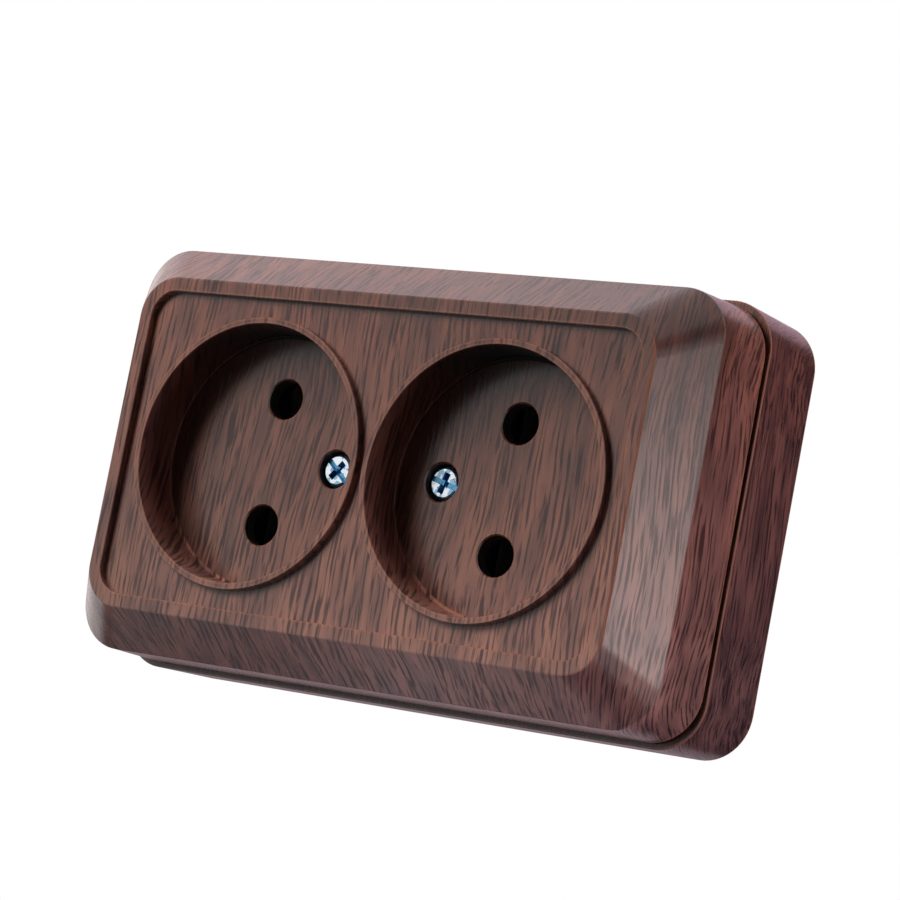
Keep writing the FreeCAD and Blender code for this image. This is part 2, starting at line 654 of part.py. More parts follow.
def carrier_holes(body):
    """Screw holes, nut pockets, turret bores, and windows for nuts and rivet tails."""
    top = f"({BOSS_END} - post_gap)"
    bores = new_sketch(body, "post_bores", top)
    heads = new_sketch(body, "turret_holes", TURRET_TOP)
    sockets = new_sketch(body, "stud_sockets", "stud_height")
    nuts = new_sketch(body, "nut_pockets", "(plate_lift + nut_thick + nut_gap * 4)")
    windows = new_sketch(body, "nut_windows", PLATE_TOP)
    tails = new_sketch(body, "rivet_windows", PLATE_TOP)
    for side in SIDES:
        circle(bores, side + SCREW_X, "0", HOLE_WIDTH)
        circle(heads, side + TURRET_X, "0", HOLE_WIDTH)
        circle(sockets, side + TURRET_X, "0", "(stud_width + 2 * stud_gap)")
        hexagon(nuts, side + SCREW_X, "(nut_flats + 2 * nut_gap)")
        for end in SIDES:
            side_length = "(square_nut + 2 * nut_gap)"
            rectangle(windows, side + TERMINAL_X, end + "bar_place", side_length, side_length)
            circle(tails, side + CUP_X, end + "bar_place", "(rivet_head + 0.6)")
    pocket(body, "post_holes", bores, f"{top} - plate_lift")
    pocket(body, "screw_holes", heads, "boss_skin")
    pocket(body, "sockets", sockets, "stud_height - plate_lift")
    pocket(body, "nut_seats", nuts, "nut_thick + nut_gap * 4")
    pocket(body, "windows", windows, "plate_skin")
    pocket(body, "tail_holes", tails, "plate_skin")


def hexagon(sketch, across, flats):
    """A hexagon about a place on the middle line, with two corners up and down."""
    half = f"({flats} / 2)"
    reach = f"({flats} / sqrt(3))"
    right = f"{across} + {half}"
    left = f"{across} - {half}"
    polygon(sketch, [
        (right, f"{reach} / 2"), (across, reach), (left, f"{reach} / 2"),
        (left, f"-{reach} / 2"), (across, f"-{reach}"), (right, f"-{reach} / 2"),
    ])


def make_carrier():
    body = new_body("contact_carrier")
    carrier_blank(body)
    carrier_chambers(body)
    carrier_holes(body)
    return body


# Live parts

def make_bar():
    """A flat brass bar with a wide terminal at each end, on the upper side."""
    body = new_body("bar_pattern")
    strip = new_sketch(body, "strip_outline", PLATE_TOP)
    low = "(bar_place - bar_width / 2)"
    high = "(bar_place + bar_width / 2)"
    foot = "(bar_place - terminal_pad / 2)"
    head = "(bar_place + terminal_pad / 2)"
    inner = f"({TERMINAL_X} - terminal_pad / 2)"
    outer = f"({TERMINAL_X} + terminal_pad / 2)"
    polygon(strip, [
        (f"-{inner}", low), (inner, low), (inner, foot), (outer, foot), (outer, head), (inner, head),
        (inner, high), (f"-{inner}", high), (f"-{inner}", head), (f"-{outer}", head),
        (f"-{outer}", foot), (f"-{inner}", foot),
    ])
    pad(body, "strip", strip, "bar_thick")
    holes = new_sketch(body, "hole_outlines", BAR_TOP)
    for side in SIDES:
        circle(holes, side + CUP_X, "bar_place", "(rivet_shank + 2 * thread_gap)")
        circle(holes, side + TERMINAL_X, "bar_place", "(terminal_shank + 2 * shank_gap)")
    pocket(body, "holes", holes, "bar_thick")
    return body


def make_contact():
    """Lyre-shaped sheet contact: two leaves that neck in to grip a pin, on a riveted tab."""
    body = new_body("contact_pattern")
    sketch = new_sketch(body, "lyre_profile", role="XY_Plane")
    heel = "(heel_width / 2)"
    grip = "(grip_gap / 2)"
    mouth = "(mouth_gap / 2)"
    heel_top, neck_top, grip_top = [f"({BAR_TOP} + {share} * {LYRE_RISE})" for share in SHARES]
    outer = [
        (heel, BAR_TOP), (heel, heel_top),
        (f"({grip} + leaf_thick)", neck_top),
        (f"({grip} + leaf_thick)", grip_top),
        (f"({mouth} + leaf_thick)", LYRE_TOP),
    ]
    inner = [
        (mouth, LYRE_TOP),
        (grip, grip_top),
        (grip, neck_top),
        (f"({heel} - leaf_thick)", heel_top),
        (f"({heel} - leaf_thick)", f"({BAR_TOP} + leaf_thick)"),
    ]
    right = [(across, f"-{height}") for across, height in outer + inner]
    left = [(f"-{across}", f"-{height}") for across, height in reversed(outer + inner)]
    polygon(sketch, right + left)
    pad_both(body, "leaves", sketch, "leaf_width")
    round_edges(body, "inner_bends", "bend_round", along_z([inner[1], inner[2], inner[3], inner[4]]))
    round_edges(body, "outer_bends", "bend_round + leaf_thick", along_z([outer[0], outer[1], outer[2], outer[3]]))
    tab = new_sketch(body, "tab_outline", BAR_TOP)
    start = "(leaf_width / 2 - leaf_thick)"
    end = f"(bar_place - {PIN_Z} + bar_width / 2)"
    rectangle(tab, "0", f"({start} + {end}) / 2", "tab_width", f"({end} - {start})")
    pad(body, "tab", tab, "leaf_thick")
    hole = new_sketch(body, "rivet_outline", f"({BAR_TOP} + leaf_thick)")
    circle(hole, "0", f"bar_place - {PIN_Z}", "(rivet_shank + 2 * thread_gap)")
    pocket(body, "rivet_hole", hole, "leaf_thick")
    return body


def make_clip():
    """Steel spring clip: three sides of a box that press the leaves together."""
    body = new_body("clip_pattern")
    sketch = new_sketch(body, "clip_outline", f"({BAR_TOP} + neck_share * {LYRE_RISE} + clip_margin)")
    inner = "(grip_gap / 2 + leaf_thick)"
    outer = f"({inner} + clip_thick)"
    back = "(leaf_width / 2 + 0.1)"
    tip = f"(clip_length - {back})"
    polygon(sketch, [
        (f"-{outer}", tip), (f"-{outer}", f"-{back} - clip_thick"), (outer, f"-{back} - clip_thick"),
        (outer, tip), (inner, tip), (inner, f"-{back}"), (f"-{inner}", f"-{back}"), (f"-{inner}", tip),
    ])
    pad(body, "clip", sketch, f"(grip_share - neck_share) * {LYRE_RISE} - 2 * clip_margin")
    return body


def make_clamp():
    """Square clamp plate under a terminal screw's head."""
    body = new_body("clamp_pattern")
    sketch = new_sketch(body, "clamp_outline", BAR_TOP)
    rectangle(sketch, "0", "0", "clamp_width", "clamp_width")
    circle(sketch, "0", "0", "(terminal_shank + 2 * shank_gap)")
    pad(body, "clamp", sketch, "clamp_thick")
    return body


# Fasteners

def make_screw(name, seat, head_width, head_height, shank, length, cross):
    """A pan head screw by its seat's height, with a slot and, where asked, a cross recess."""
    body = new_body(name)
    top = f"({seat} + {head_height})"
    tip = f"({seat} - {length})"
    thin = f"({shank} / 2)"
    wide = f"({head_width} / 2)"
    turned(body, "blank", [
        ("0", tip), (f"({thin} - 0.4)", tip), (thin, f"({tip} + 0.4)"), (thin, seat),
        (wide, seat), (wide, f"({top} - head_bevel)"), (f"({wide} - head_bevel)", top), ("0", top),
    ])
    slot = new_sketch(body, "slot_outline", top)
    rectangle(slot, "0", "0", f"({head_width} + 1)", "slot_cut")
    pocket(body, "slot", slot, "slot_sink")
    if cross:
        recess = new_sketch(body, "cross_outline", top)
        rectangle(recess, "0", "0", "(slot_cut * 1.3)", "cross_reach")
        pocket(body, "cross", recess, "cross_sink", "-12")
    return body


def make_nut(name, top, thick, bore, outline):
    """A nut below a height, its outline drawn by a function."""
    body = new_body(name)
    sketch = new_sketch(body, "nut_outline", f"({top} - {thick})")
    outline(sketch)
    circle(sketch, "0", "0", bore)
    pad(body, "nut", sketch, thick)
    return body


def make_rivet():
    """A rivet through a contact tab and a bar, headed on both sides."""
    body = new_body("rivet_pattern")
    shank = "(rivet_shank / 2)"
    head = "(rivet_head / 2)"
    top = f"({BAR_TOP} + leaf_thick)"
    turned(body, "rivet", [
        ("0", f"({PLATE_TOP} - rivet_rise)"), (f"({head} - 0.3)", f"({PLATE_TOP} - rivet_rise)"),
        (head, PLATE_TOP), (shank, PLATE_TOP), (shank, top), (head, top),
        (f"({head} - 0.4)", f"({top} + rivet_rise)"), ("0", f"({top} + rivet_rise)"),
    ])
    return body


# Placing copies of a pattern piece

def place_copy(pattern, name, across, up, turn=0):
    """A copy of a pattern piece at a place on the wall plane, turned about Y."""
    copy = doc.addObject("App::Link", name)
    copy.LinkedObject = pattern
    copy.Label = name
    copy.Placement = FreeCAD.Placement(FreeCAD.Vector(), FreeCAD.Rotation(FreeCAD.Vector(0, 1, 0), turn))
    if across != "0":
        copy.setExpression(".Placement.Base.x", full(across))
    if up != "0":
        copy.setExpression(".Placement.Base.z", full(up))
    return copy


def group(name, pattern, places):
    """Like fasteners as one group of separate solids."""
    copies = [place_copy(pattern, f"{name}_{place}", *spot) for place, spot in enumerate(places, 1)]
    whole = doc.addObject("Part::Compound", name)
    whole.Links = copies
    whole.Label = name
    return whole


def terminal_places():
    """The four terminals."""
    return [(side + TERMINAL_X, end + "bar_place") for side in SIDES for end in SIDES]


def make_parts():
    """Every piece of the socket, in order of assembly."""
    parts = [make_box(), make_carrier()]
    bar = make_bar()
    parts.append(place_copy(bar, "line_bar", "0", "0"))
    parts.append(place_copy(bar, "neutral_bar", "0", "0", 180))
    contact = make_contact()
    clip = make_clip()
    clamp = make_clamp()
    for end, row, turn in (("", "upper", 0), ("-", "lower", 180)):
        for side, column in (("-", "left"), ("", "right")):
            spot = f"{row}_{column}"
            parts.append(place_copy(contact, f"pin_contact_{spot}", side + CUP_X, end + PIN_Z, turn))
            parts.append(place_copy(clip, f"spring_clip_{spot}", side + CUP_X, end + PIN_Z, turn))
            parts.append(place_copy(clamp, f"clamp_plate_{spot}", side + TERMINAL_X, end + "bar_place"))
    rivets = [(side + CUP_X, end + "bar_place") for side in SIDES for end in SIDES]
    parts.append(group("contact_rivets", make_rivet(), rivets))
    square = "square_nut"
    nut = make_nut("square_nut_pattern", PLATE_TOP, "square_thick", "(terminal_shank + 2 * thread_gap)",
                   lambda sketch: rectangle(sketch, "0", "0", square, square))
    parts.append(group("terminal_nuts", nut, terminal_places()))
    screw = make_screw("terminal_screw_pattern", f"({BAR_TOP} + clamp_thick)", "terminal_head",
                       "head_height", "terminal_shank", "terminal_length", False)
    parts.append(group("terminal_screws", screw, [spot + (25,) for spot in terminal_places()]))
    nut = make_nut("cover_nut_pattern", "(plate_lift + nut_thick + nut_gap * 4)", "nut_thick", THREAD_WIDTH,
                   lambda sketch: hexagon(sketch, "0", "nut_flats"))
    parts.append(group("cover_nuts", nut, [(side + SCREW_X, "0") for side in SIDES]))
    screw = make_screw("carrier_screw_pattern", TURRET_TOP, "carrier_head_width", "head_height",
                       "shank_width", "carrier_shank", True)
    parts.append(group("carrier_screws", screw, [(TURRET_X, "0", 20), ("-" + TURRET_X, "0", 65)]))
    parts.append(make_cover())
    screw = make_screw("cover_screw_pattern", SEAT, "head_width", "head_height",
                       "shank_width", SHANK_LENGTH, True)
    parts.append(group("cover_screws", screw, [("-" + SCREW_X, "0", 40), (SCREW_X, "0", 15)]))
    return parts


def check(parts):
    """Stop if any object failed or any piece is not sound."""
    doc.recompute()
    for item in doc.Objects:
        if "Invalid" in item.State or "Error" in item.State:
            raise RuntimeError(f"{item.Name} has state {item.State}")
    for part in parts:
        shape = Part.getShape(part)
        if shape.isNull() or not shape.isValid() or not shape.Solids:
            raise RuntimeError(f"{part.Label} has no sound shape")


def write(parts):
    """Write each piece to its own file."""
    os.makedirs("parts", exist_ok=True)
    for part in parts:
        shape = Part.getShape(part)
        shape.exportStep(f"parts/{part.Label}.step")
        box = shape.BoundBox
        print(f"{part.Label}: {len(shape.Solids)} solids, {shape.Volume:.1f} cubic mm, "
              f"{box.XLength:.2f} x {box.YLength:.2f} x {box.ZLength:.2f}")


PARTS = make_parts()
check(PARTS)
write(PARTS)
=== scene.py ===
import bmesh
import bpy
from mathutils import Matrix, Vector

# A surface-mounted double wall socket, seen from its lower right.
# Metres, X along the socket, Y into the wall and Z up, with the wall at Y = 0.
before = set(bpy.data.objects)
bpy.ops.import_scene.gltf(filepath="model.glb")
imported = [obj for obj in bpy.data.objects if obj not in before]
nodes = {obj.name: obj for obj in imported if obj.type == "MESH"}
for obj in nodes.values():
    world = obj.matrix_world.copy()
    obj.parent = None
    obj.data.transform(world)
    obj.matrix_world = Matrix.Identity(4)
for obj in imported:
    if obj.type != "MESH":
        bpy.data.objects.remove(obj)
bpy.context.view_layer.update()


# Back box
# The deeper tray that is screwed to the wall and carries everything else.
# Injection-moulded ABS, covered with a printed wood-grain film that is pressed round its sides.

FRONT = 0.0333
CUP_X = 0.02085
CUP_WALL = 0.0190
CUP_RIM = 0.0193
CUP_DEPTH = 0.0074
RING_ROOT = 0.0199
BORDER_CORNER = (0.03928, 1.0, 0.01906)
BORDER_ARC = 0.00595
BOX_MOUTH = 0.01372


def colour(code):
    """Linear colour from an sRGB hex value."""
    parts = [int(code[place:place + 2], 16) / 255 for place in (1, 3, 5)]
    linear = [part / 12.92 if part <= 0.04045 else ((part + 0.055) / 1.055) ** 2.4 for part in parts]
    return linear + [1.0]


def add(tree, kind, values=None, links=None, **settings):
    """Add a node with its settings, the values of its sockets and the links into them."""
    made = tree.nodes.new(kind)
    for name, setting in settings.items():
        setattr(made, name, setting)
    for socket, value in (values or {}).items():
        made.inputs[socket].default_value = value
    for socket, source in (links or {}).items():
        tree.links.new(source, made.inputs[socket])
    return made


def new_material(name):
    """An empty material, with its node tree and its surface shader."""
    made = bpy.data.materials.new(name)
    made.use_nodes = True
    tree = made.node_tree
    tree.nodes.clear()
    shader = add(tree, "ShaderNodeBsdfPrincipled")
    add(tree, "ShaderNodeOutputMaterial", links={"Surface": shader.outputs["BSDF"]})
    return made, tree, shader


def dress(name, material):
    """Give a node of the frame its material."""
    mesh = nodes[name].data
    mesh.materials.clear()
    mesh.materials.append(material)


def film_place(tree):
    """Where a point lies on the flat film before it was pressed round the moulding.

    Toward the edges of the front the film turns back along Y, more and more, so that its lines
    curve round the corners. In a cup it turns in from the rim. It also gives a mask of the cup
    walls, the distance from the middle of the nearer cup and the depth behind the front.
    """
    place = add(tree, "ShaderNodeTexCoord").outputs["Object"]
    apart = add(tree, "ShaderNodeSeparateXYZ", links={0: place})
    depth = add(tree, "ShaderNodeMath", {1: FRONT}, {0: apart.outputs["Y"]}, operation="ADD").outputs[0]
    reach = add(tree, "ShaderNodeVectorMath", links={0: place}, operation="ABSOLUTE").outputs[0]
    past = add(tree, "ShaderNodeMapRange",
               {7: (0.032, 0.0, 0.014), 8: (0.0512, 1.0, 0.0315),
                9: (0.0, 0.0, 0.0), 10: (1.0, 0.0, 1.0)},
               {6: reach}, data_type="FLOAT_VECTOR")
    side = add(tree, "ShaderNodeVectorMath", links={0: place}, operation="SIGN").outputs[0]
    turn = add(tree, "ShaderNodeVectorMath", links={0: past.outputs["Vector"], 1: side},
               operation="MULTIPLY")
    back = add(tree, "ShaderNodeVectorMath", links={0: turn.outputs[0], "Scale": depth},
               operation="SCALE")
    # Distance from the centre of the nearer cup
    centre = add(tree, "ShaderNodeVectorMath", {1: (CUP_X, 0.0, 0.0)}, {0: side},
                 operation="MULTIPLY").outputs[0]
    away = add(tree, "ShaderNodeVectorMath", links={0: place, 1: centre},
               operation="SUBTRACT").outputs[0]
    flat = add(tree, "ShaderNodeVectorMath", {1: (1.0, 0.0, 1.0)}, {0: away},
               operation="MULTIPLY").outputs[0]
    radius = add(tree, "ShaderNodeVectorMath", links={0: flat}, operation="LENGTH").outputs["Value"]
    drawn = add(tree, "ShaderNodeMath", {1: CUP_WALL, 2: 0.00035}, {0: radius},
                operation="COMPARE").outputs[0]
    shallow = add(tree, "ShaderNodeMath", {1: 0.009}, {0: depth}, operation="LESS_THAN").outputs[0]
    wall = add(tree, "ShaderNodeMath", links={0: drawn, 1: shallow}, operation="MULTIPLY").outputs[0]
    inward = add(tree, "ShaderNodeVectorMath", links={0: flat}, operation="NORMALIZE").outputs[0]
    fall = add(tree, "ShaderNodeMath", links={0: wall, 1: depth}, operation="MULTIPLY").outputs[0]
    down = add(tree, "ShaderNodeVectorMath", links={0: inward, "Scale": fall},
               operation="SCALE").outputs[0]
    outside = add(tree, "ShaderNodeVectorMath", links={0: place, 1: back.outputs[0]},
                  operation="ADD").outputs[0]
    film = add(tree, "ShaderNodeVectorMath", links={0: outside, 1: down},
               operation="SUBTRACT").outputs[0]
    return film, wall, radius, depth


def woodgrain(name, offset, ground, warm, pore, inside):
    """Satin wood-grain film over moulded ABS, with its colours as hex values, and painted shade, light and
    highlights.

    inside says how far the bare black plastic reaches from the wall, and from the middle along
    X and Z. In the pin holes and screw seats this black is also painted shade.
    """
    made, tree, shader = new_material(name)
    film, wall, radius, depth = film_place(tree)
    # The printed grain wanders by up to 2 mm over 40 mm
    shifted = add(tree, "ShaderNodeMapping", {"Location": offset, "Scale": (32.0, 0.0, 24.0)},
                  {"Vector": film})
    wander = add(tree, "ShaderNodeTexNoise", {"Scale": 1.0, "Detail": 1.0},
                 {"Vector": shifted.outputs[0]})
    bend = add(tree, "ShaderNodeMath", {1: 0.5}, {0: wander.outputs["Fac"]},
               operation="SUBTRACT").outputs[0]
    sway = add(tree, "ShaderNodeMath", {1: 0.008}, {0: bend}, operation="MULTIPLY").outputs[0]
    push = add(tree, "ShaderNodeCombineXYZ", links={"X": sway}).outputs[0]
    grain = add(tree, "ShaderNodeVectorMath", links={0: film, 1: push}, operation="ADD").outputs[0]
    # Bands 6 mm wide in which the strokes crowd together or thin out
    band_place = add(tree, "ShaderNodeMapping", {"Location": offset, "Scale": (160.0, 0.0, 40.0)},
                     {"Vector": grain})
    bands = add(tree, "ShaderNodeTexNoise", {"Scale": 1.0, "Detail": 2.0},
                {"Vector": band_place.outputs[0]})
    crowd = add(tree, "ShaderNodeMapRange", {1: 0.3, 2: 0.7, 3: -0.05, 4: 0.05},
                {0: bands.outputs["Fac"]}).outputs[0]
    # Pore strokes 0.4 mm wide and 3 to 10 mm long, most of them about 1.1 mm apart
    row_place = add(tree, "ShaderNodeMapping", {"Location": offset, "Scale": (285.0, 0.0, 50.0)},
                    {"Vector": grain})
    rows = add(tree, "ShaderNodeTexWave",
               {"Scale": 1.0, "Distortion": 6.0, "Detail": 1.0, "Detail Scale": 2.5},
               {"Vector": row_place.outputs[0]}, bands_direction="X")
    beat = add(tree, "ShaderNodeMapRange", {1: 0.0, 2: 1.0, 3: -0.08, 4: 0.08},
               {0: rows.outputs["Fac"]}).outputs[0]
    stroke_place = add(tree, "ShaderNodeMapping",
                       {"Location": offset, "Scale": (1900.0, 0.0, 130.0)}, {"Vector": grain})
    strokes = add(tree, "ShaderNodeTexNoise", {"Scale": 1.0, "Detail": 2.0, "Roughness": 0.6},
                  {"Vector": stroke_place.outputs[0]})
    spaced = add(tree, "ShaderNodeMath", links={0: strokes.outputs["Fac"], 1: beat},
                 operation="ADD").outputs[0]
    level = add(tree, "ShaderNodeMath", links={0: spaced, 1: crowd}, operation="ADD").outputs[0]
    dark = add(tree, "ShaderNodeMapRange", {1: 0.49, 2: 0.64, 3: 0.0, 4: 0.85}, {0: level}).outputs[0]
    # Patches 3 mm wide and 15 mm long, from dark heartwood to lighter sapwood
    patch_place = add(tree, "ShaderNodeMapping",
                      {"Location": offset, "Scale": (330.0, 0.0, 65.0)}, {"Vector": grain})
    patches = add(tree, "ShaderNodeTexNoise", {"Scale": 1.0, "Detail": 2.0},
                  {"Vector": patch_place.outputs[0]})
    pale = add(tree, "ShaderNodeMapRange", {1: 0.36, 2: 0.62, 3: 0.0, 4: 1.0},
               {0: patches.outputs["Fac"]}).outputs[0]
    mixed = add(tree, "ShaderNodeMix", {6: colour(ground), 7: colour(warm)}, {0: pale},
                data_type="RGBA")
    printed = add(tree, "ShaderNodeMix", {7: colour(pore)}, {0: dark, 6: mixed.outputs[2]},
                  data_type="RGBA")
    # The colour on the front grows lighter and mauver toward its lower right, and the cups grow darker
    # toward their floors as painted shade
    spot = add(tree, "ShaderNodeSeparateXYZ", links={0: film})
    high = add(tree, "ShaderNodeMapRange", {1: -0.026, 2: 0.026, 3: -1.0, 4: 1.0},
               {0: spot.outputs["Z"]}).outputs[0]
    slope = add(tree, "ShaderNodeMapRange", {1: -0.045, 2: 0.045, 3: -0.08, 4: -0.60},
                {0: spot.outputs["X"]})
    front = add(tree, "ShaderNodeMapRange", {1: 0.008, 2: 0.012, 3: 1.0, 4: 0.0}, {0: depth}).outputs[0]
    tilt = add(tree, "ShaderNodeMath", links={0: slope.outputs[0], 1: front},
               operation="MULTIPLY").outputs[0]
    across = add(tree, "ShaderNodeMapRange", {1: -0.045, 2: 0.03, 3: 0.84, 4: 1.0},
                 {0: spot.outputs["X"]}).outputs[0]
    fade = add(tree, "ShaderNodeMath", links={0: high, 1: tilt, 2: across},
               operation="MULTIPLY_ADD").outputs[0]
    # Painted shade in the cups, up to 22 % darker at the floor
    near = add(tree, "ShaderNodeMath", {1: CUP_RIM}, {0: radius}, operation="LESS_THAN").outputs[0]
    below = add(tree, "ShaderNodeMapRange", {1: 0.0, 2: CUP_DEPTH, 3: 0.0, 4: 0.22}, {0: depth}).outputs[0]
    painted_cup_shade = add(tree, "ShaderNodeMath", links={0: near, 1: below}, operation="MULTIPLY").outputs[0]
    # Painted shade and light on the drawn cup walls: darkest at the roof of a cup and lightest a little
    # below its middle
    rise = add(tree, "ShaderNodeMath", {1: 0.36}, {0: high}, operation="ADD").outputs[0]
    off_level = add(tree, "ShaderNodeMath", links={0: rise}, operation="ABSOLUTE").outputs[0]
    roof = add(tree, "ShaderNodeMapRange", {1: 0.0, 2: 0.92, 3: -0.75, 4: 0.60},
               {0: off_level}).outputs[0]
    painted_wall_shade = add(tree, "ShaderNodeMath", links={0: wall, 1: roof}, operation="MULTIPLY").outputs[0]
    painted_shade = add(tree, "ShaderNodeMath", links={0: painted_cup_shade, 1: painted_wall_shade}, operation="ADD").outputs[0]
    gain_with_painted_shade = add(tree, "ShaderNodeMath", links={0: fade, 1: painted_shade}, operation="SUBTRACT").outputs[0]
    lit = add(tree, "ShaderNodeVectorMath", links={0: printed.outputs[2], "Scale": gain_with_painted_shade},
              operation="SCALE")
    upper = add(tree, "ShaderNodeMapRange", {1: -1.0, 2: 1.0, 3: 0.0, 4: 1.0}, {0: high}).outputs[0]
    hue = add(tree, "ShaderNodeMix", {6: (0.98, 1.07, 1.12, 1.0), 7: (1.10, 0.96, 0.90, 1.0)},
              {0: upper},
              data_type="RGBA")
    toned = add(tree, "ShaderNodeVectorMath", links={0: lit.outputs[0], 1: hue.outputs[2]},
                operation="MULTIPLY")
    # Over sharp outer edges the film is lighter and warmer, partly from film stretched thin and partly as
    # a painted highlight
    edge = add(tree, "ShaderNodeAmbientOcclusion", {"Distance": 0.00045}, inside=True,
               only_local=True, samples=8)
    thin_film_and_highlight = add(tree, "ShaderNodeMapRange", {1: 0.90, 2: 0.58, 3: 0.0, 4: 0.5},
               {0: edge.outputs["AO"]}).outputs[0]
    thinned_and_highlit = add(tree, "ShaderNodeMix", {7: colour("#ab6c4d")}, {0: thin_film_and_highlight, 6: toned.outputs[0]},
               data_type="RGBA")
    # A matt, warm painted highlight on the right only, along the border's outer edge and the front edge of
    # the box
    place = add(tree, "ShaderNodeTexCoord").outputs["Object"]
    reach = add(tree, "ShaderNodeVectorMath", links={0: place}, operation="ABSOLUTE").outputs[0]
    apart = add(tree, "ShaderNodeSeparateXYZ", links={0: reach})
    corner = add(tree, "ShaderNodeVectorMath", {1: BORDER_CORNER}, {0: reach},
                 operation="SUBTRACT")
    past = add(tree, "ShaderNodeVectorMath", {1: (0.0, 0.0, 0.0)}, {0: corner.outputs[0]},
               operation="MAXIMUM")
    out = add(tree, "ShaderNodeVectorMath", links={0: past.outputs[0]},
              operation="LENGTH").outputs["Value"]
    border = add(tree, "ShaderNodeMath", {1: BORDER_ARC, 2: 0.00013}, {0: out},
                 operation="COMPARE").outputs[0]
    mouth = add(tree, "ShaderNodeMath", {1: BOX_MOUTH, 2: 0.00011}, {0: apart.outputs["Y"]},
                operation="COMPARE").outputs[0]
    fore = add(tree, "ShaderNodeMath", {1: 0.013}, {0: apart.outputs["Y"]},
               operation="GREATER_THAN").outputs[0]
    front_edge = add(tree, "ShaderNodeMath", links={0: border, 1: fore},
                     operation="MULTIPLY").outputs[0]
    edges = add(tree, "ShaderNodeMath", links={0: front_edge, 1: mouth}, operation="MAXIMUM").outputs[0]
    signed = add(tree, "ShaderNodeSeparateXYZ", links={0: place}).outputs["X"]
    right = add(tree, "ShaderNodeMapRange", {1: 0.0435, 2: 0.0452, 3: 0.0, 4: 0.65},
                {0: signed}).outputs[0]
    right_edge_highlight = add(tree, "ShaderNodeMath", links={0: edges, 1: right}, operation="MULTIPLY").outputs[0]
    with_edge_highlights = add(tree, "ShaderNodeMix", {7: colour("#a9664a")}, {0: right_edge_highlight, 6: thinned_and_highlit.outputs[2]},
               data_type="RGBA")
    # Behind the outer skin and in the holes the moulding is bare black plastic; in the holes this black is
    # also painted shade
    deep = add(tree, "ShaderNodeMath", {1: inside[0]}, {0: apart.outputs["Y"]},
               operation="LESS_THAN").outputs[0]
    near_x = add(tree, "ShaderNodeMath", {1: inside[1]}, {0: apart.outputs["X"]},
                 operation="LESS_THAN").outputs[0]
    near_z = add(tree, "ShaderNodeMath", {1: inside[2]}, {0: apart.outputs["Z"]},
                 operation="LESS_THAN").outputs[0]
    middle = add(tree, "ShaderNodeMath", links={0: near_x, 1: near_z}, operation="MULTIPLY").outputs[0]
    lining = add(tree, "ShaderNodeMath", links={0: deep, 1: middle}, operation="MULTIPLY").outputs[0]
    # So is the back of the front wall outside the cups, and of its bevels, which run out by 0.77 mm
    # for each millimetre that they fall
    behind = add(tree, "ShaderNodeMath", {1: 0.0315}, {0: apart.outputs["Y"]},
                 operation="LESS_THAN").outputs[0]
    off_cup = add(tree, "ShaderNodeMath", {1: RING_ROOT}, {0: radius}, operation="GREATER_THAN").outputs[0]
    lean = add(tree, "ShaderNodeMath", {1: 0.77}, {0: apart.outputs["Y"], 2: out},
               operation="MULTIPLY_ADD").outputs[0]
    within = add(tree, "ShaderNodeMath", {1: 0.0298}, {0: lean}, operation="LESS_THAN").outputs[0]
    shell = add(tree, "ShaderNodeMath", links={0: within, 1: middle}, operation="MULTIPLY").outputs[0]
    back_face = add(tree, "ShaderNodeMath", links={0: behind, 1: off_cup},
                    operation="MULTIPLY").outputs[0]
    hollow = add(tree, "ShaderNodeMath", links={0: back_face, 1: shell},
                 operation="MULTIPLY").outputs[0]
    bare_plastic_and_hole_shade = add(tree, "ShaderNodeMath", links={0: lining, 1: hollow}, operation="MAXIMUM").outputs[0]
    skin = add(tree, "ShaderNodeMix", {7: colour("#17110f")}, {0: bare_plastic_and_hole_shade, 6: with_edge_highlights.outputs[2]},
               data_type="RGBA")
    tree.links.new(skin.outputs[2], shader.inputs["Base Color"])
    # The pores are a little duller than the ground, and bare plastic and the drawn cup walls are matt
    grit = add(tree, "ShaderNodeTexNoise", {"Scale": 2500.0, "Detail": 3.0},
               {"Vector": place}).outputs["Fac"]
    face = add(tree, "ShaderNodeMix", links={0: bare_plastic_and_hole_shade, 2: dark, 3: grit}, data_type="FLOAT").outputs[0]
    dull = add(tree, "ShaderNodeMapRange", {1: 0.0, 2: 1.0, 3: 0.22, 4: 0.30}, {0: face}).outputs[0]
    plain = add(tree, "ShaderNodeMath", links={0: wall, 1: right_edge_highlight}, operation="MAXIMUM").outputs[0]
    covered = add(tree, "ShaderNodeMath", links={0: plain, 1: bare_plastic_and_hole_shade}, operation="MAXIMUM").outputs[0]
    matt = add(tree, "ShaderNodeMath", {1: 0.25}, {0: covered}, operation="MULTIPLY").outputs[0]
    rough = add(tree, "ShaderNodeMath", links={0: dull, 1: matt}, operation="ADD").outputs[0]
    tree.links.new(rough, shader.inputs["Roughness"])
    sheen = add(tree, "ShaderNodeMapRange", {1: 0.0, 2: 1.0, 3: 0.5, 4: 0.12}, {0: plain}).outputs[0]
    tree.links.new(sheen, shader.inputs["Specular IOR Level"])
    relief = add(tree, "ShaderNodeBump", {"Strength": 0.25, "Distance": 0.00003},
                 {"Height": face}, invert=True)
    tree.links.new(relief.outputs[0], shader.inputs["Normal"])
    shader.inputs["IOR"].default_value = 1.5
    return made


box_film = woodgrain("woodgrain_film_on_abs_box", (3.1, 0.0, 7.7), "#4e3330", "#714a41", "#231719",
                     (1.0, 0.0490, 0.0292))
dress("back_box", box_film)


# Contact carrier
# The inner moulding with the contact chambers and the posts for the cover screws.
# Black ABS, moulded with a fine matt grain, and screwed to the box's two studs.

carrier_plastic, tree, shader = new_material("moulded_abs_black_matt")
place = add(tree, "ShaderNodeTexCoord").outputs["Object"]
